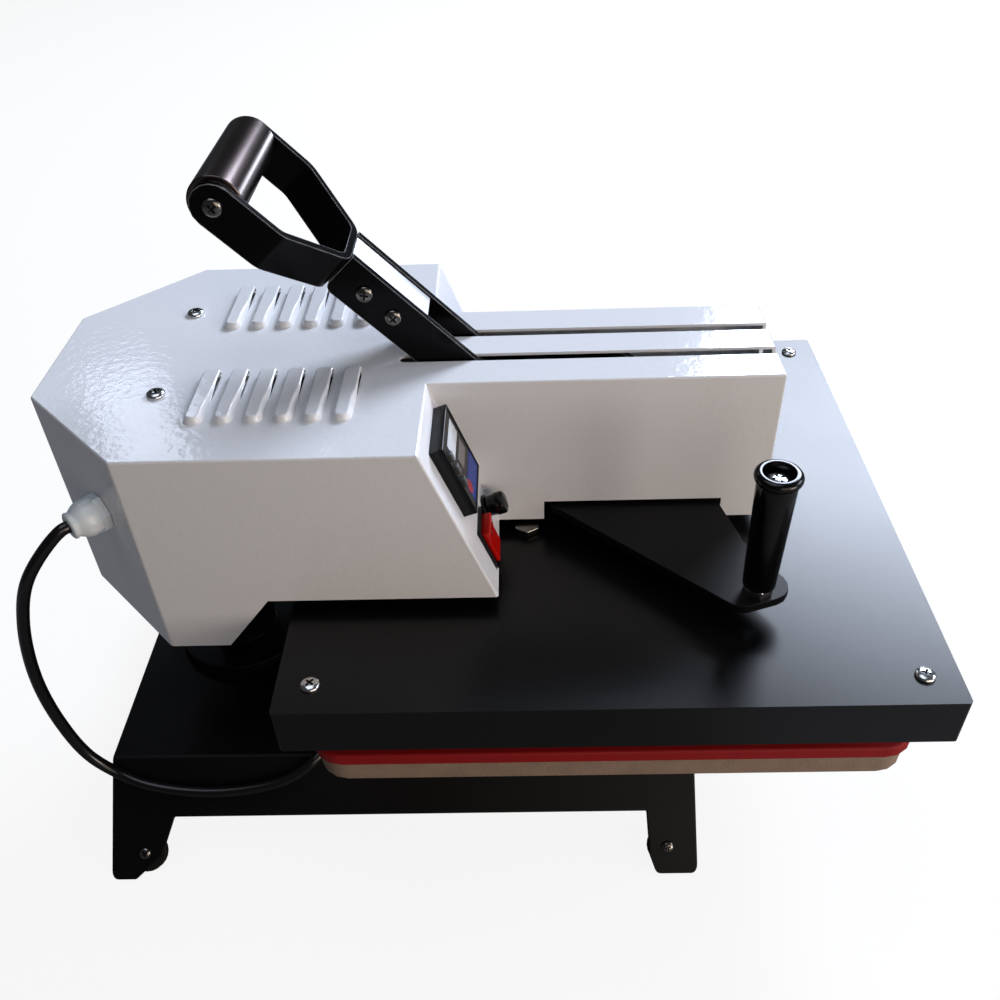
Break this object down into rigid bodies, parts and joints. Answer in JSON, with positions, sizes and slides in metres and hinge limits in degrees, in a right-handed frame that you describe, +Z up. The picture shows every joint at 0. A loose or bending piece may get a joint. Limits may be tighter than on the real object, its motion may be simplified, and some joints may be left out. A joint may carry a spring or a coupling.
{
  "type": "swing-away heat press",
  "caption": "Bench press whose heated platen hangs from a housed arm; the arm swings aside on a column, a forked lever presses the platen on a padded table.",
  "frame": {"origin": "on the bench, under the middle of the press without its cord", "axes": "+X to the operator's front, +Y away from the swing handle's side, +Z up"},
  "size_m": [0.585, 0.588, 0.464],
  "materials": {
    "black_powder_coat": "black powder coat, fine texture",
    "satin_black": "satin black enamel",
    "white_powder_coat": "glossy white powder coat, light orange peel",
    "steel": "machined steel",
    "bright_screw": "bright plated",
    "bronze": "turned bronze",
    "cast_table": "rough sand cast",
    "silicone": "matt red silicone",
    "plate_aluminium": "milled",
    "insulation": "pressed fibre board",
    "rubber": "matt black rubber",
    "white_nylon": "moulded nylon",
    "black_plastic": "moulded, slight sheen",
    "red_plastic": "glossy red",
    "grey_plastic": "moulded",
    "grip_metal": "satin black, fine turned lines round it",
    "cord_jacket": "glossy black jacket"
  },
  "bodies": {
    "base": {"base_frame": "black_powder_coat", "foot_near_rear": "rubber", "foot_far_rear": "rubber", "foot_near_front": "rubber", "foot_far_front": "rubber", "column": "black_powder_coat", "thrust_washer": "bronze", "retaining_bolt": "steel", "table_stand": "black_powder_coat", "lower_table": "cast_table", "silicone_pad": "silicone", "power_cord": "cord_jacket", "cord_coil": "cord_jacket", "mains_plug": "black_plastic"},
    "head": {"column_sleeve": "steel", "arm_channel": "black_powder_coat", "guide_bush": "bronze", "cover_bracket": "steel", "housing_cover": "white_powder_coat", "housing_screw_near": "bright_screw", "housing_screw_far": "bright_screw", "controller_box": "black_plastic", "rocker_frame": "black_plastic", "fuse_holder": "black_plastic", "gland_body": "white_nylon", "gland_nut": "white_nylon", "swing_bracket": "black_powder_coat", "handle_bolt": "bright_screw", "handle_nut": "steel", "lever_pivot_pin": "steel"},
    "lever": {"lever_plate_near": "black_powder_coat", "lever_plate_far": "black_powder_coat", "lever_spacer": "plate_aluminium", "lever_bolt_1": "bright_screw", "lever_bolt_2": "bright_screw", "lever_fork": "black_powder_coat", "lever_grip": "grip_metal", "grip_screw_near": "bright_screw", "grip_screw_far": "bright_screw"},
    "platen": {"platen_cover": "satin_black", "insulation_board": "insulation", "heat_platen": "plate_aluminium", "press_shaft": "steel", "cam_pin": "steel", "platen_bolt_1": "bright_screw", "platen_bolt_2": "bright_screw", "platen_bolt_3": "bright_screw", "platen_bolt_4": "bright_screw", "cover_screw_1": "bright_screw", "cover_screw_2": "bright_screw", "cover_screw_3": "bright_screw", "cover_screw_4": "bright_screw"},
    "swing_grip": {"swing_grip": "black_plastic"},
    "rocker": {"rocker": "red_plastic"},
    "fuse_cap": {"fuse_cap": "black_plastic"},
    "key_1": {"key_1": "grey_plastic"},
    "key_2": {"key_2": "grey_plastic"},
    "key_3": {"key_3": "grey_plastic"}
  },
  "joints": [
    {"name": "head_swing", "type": "hinge", "parent": "base", "child": "head", "pos_m": [-0.205, 0, 0.24], "axis": [0, 0, 1], "range_deg": [0, 90]},
    {"name": "lever_pull", "type": "hinge", "parent": "head", "child": "lever", "pos_m": [0.078, 0, 0.2703], "axis": [0, 1, 0], "range_deg": [0, 120]},
    {"name": "platen_press", "type": "slide", "parent": "head", "child": "platen", "axis": [0, 0, -1], "range_m": [0, 0.0195]},
    {"name": "grip_spin", "type": "hinge", "parent": "head", "child": "swing_grip", "pos_m": [0.168, -0.131, 0.27], "axis": [0, 0, 1], "continuous": true},
    {"name": "rocker_tilt", "type": "hinge", "parent": "head", "child": "rocker", "pos_m": [0.00056, -0.084, 0.23356], "axis": [0, -1, 0], "range_deg": [0, 14]},
    {"name": "fuse_cap_turn", "type": "hinge", "parent": "head", "child": "fuse_cap", "pos_m": [0.00023, -0.0595, 0.2393], "axis": [0.9368, 0, 0.3498], "range_deg": [0, 90]},
    {"name": "key_1_push", "type": "slide", "parent": "head", "child": "key_1", "axis": [-0.9368, 0, -0.3498], "range_m": [0, 0.0008], "stiffness_N_per_m": 400},
    {"name": "key_2_push", "type": "slide", "parent": "head", "child": "key_2", "axis": [-0.9368, 0, -0.3498], "range_m": [0, 0.0008], "stiffness_N_per_m": 400},
    {"name": "key_3_push", "type": "slide", "parent": "head", "child": "key_3", "axis": [-0.9368, 0, -0.3498], "range_m": [0, 0.0008], "stiffness_N_per_m": 400}
  ],
  "couplings": [
    {"joint": "platen_press", "follows": "lever_pull", "m_per_rad": 0.00931}
  ]
}
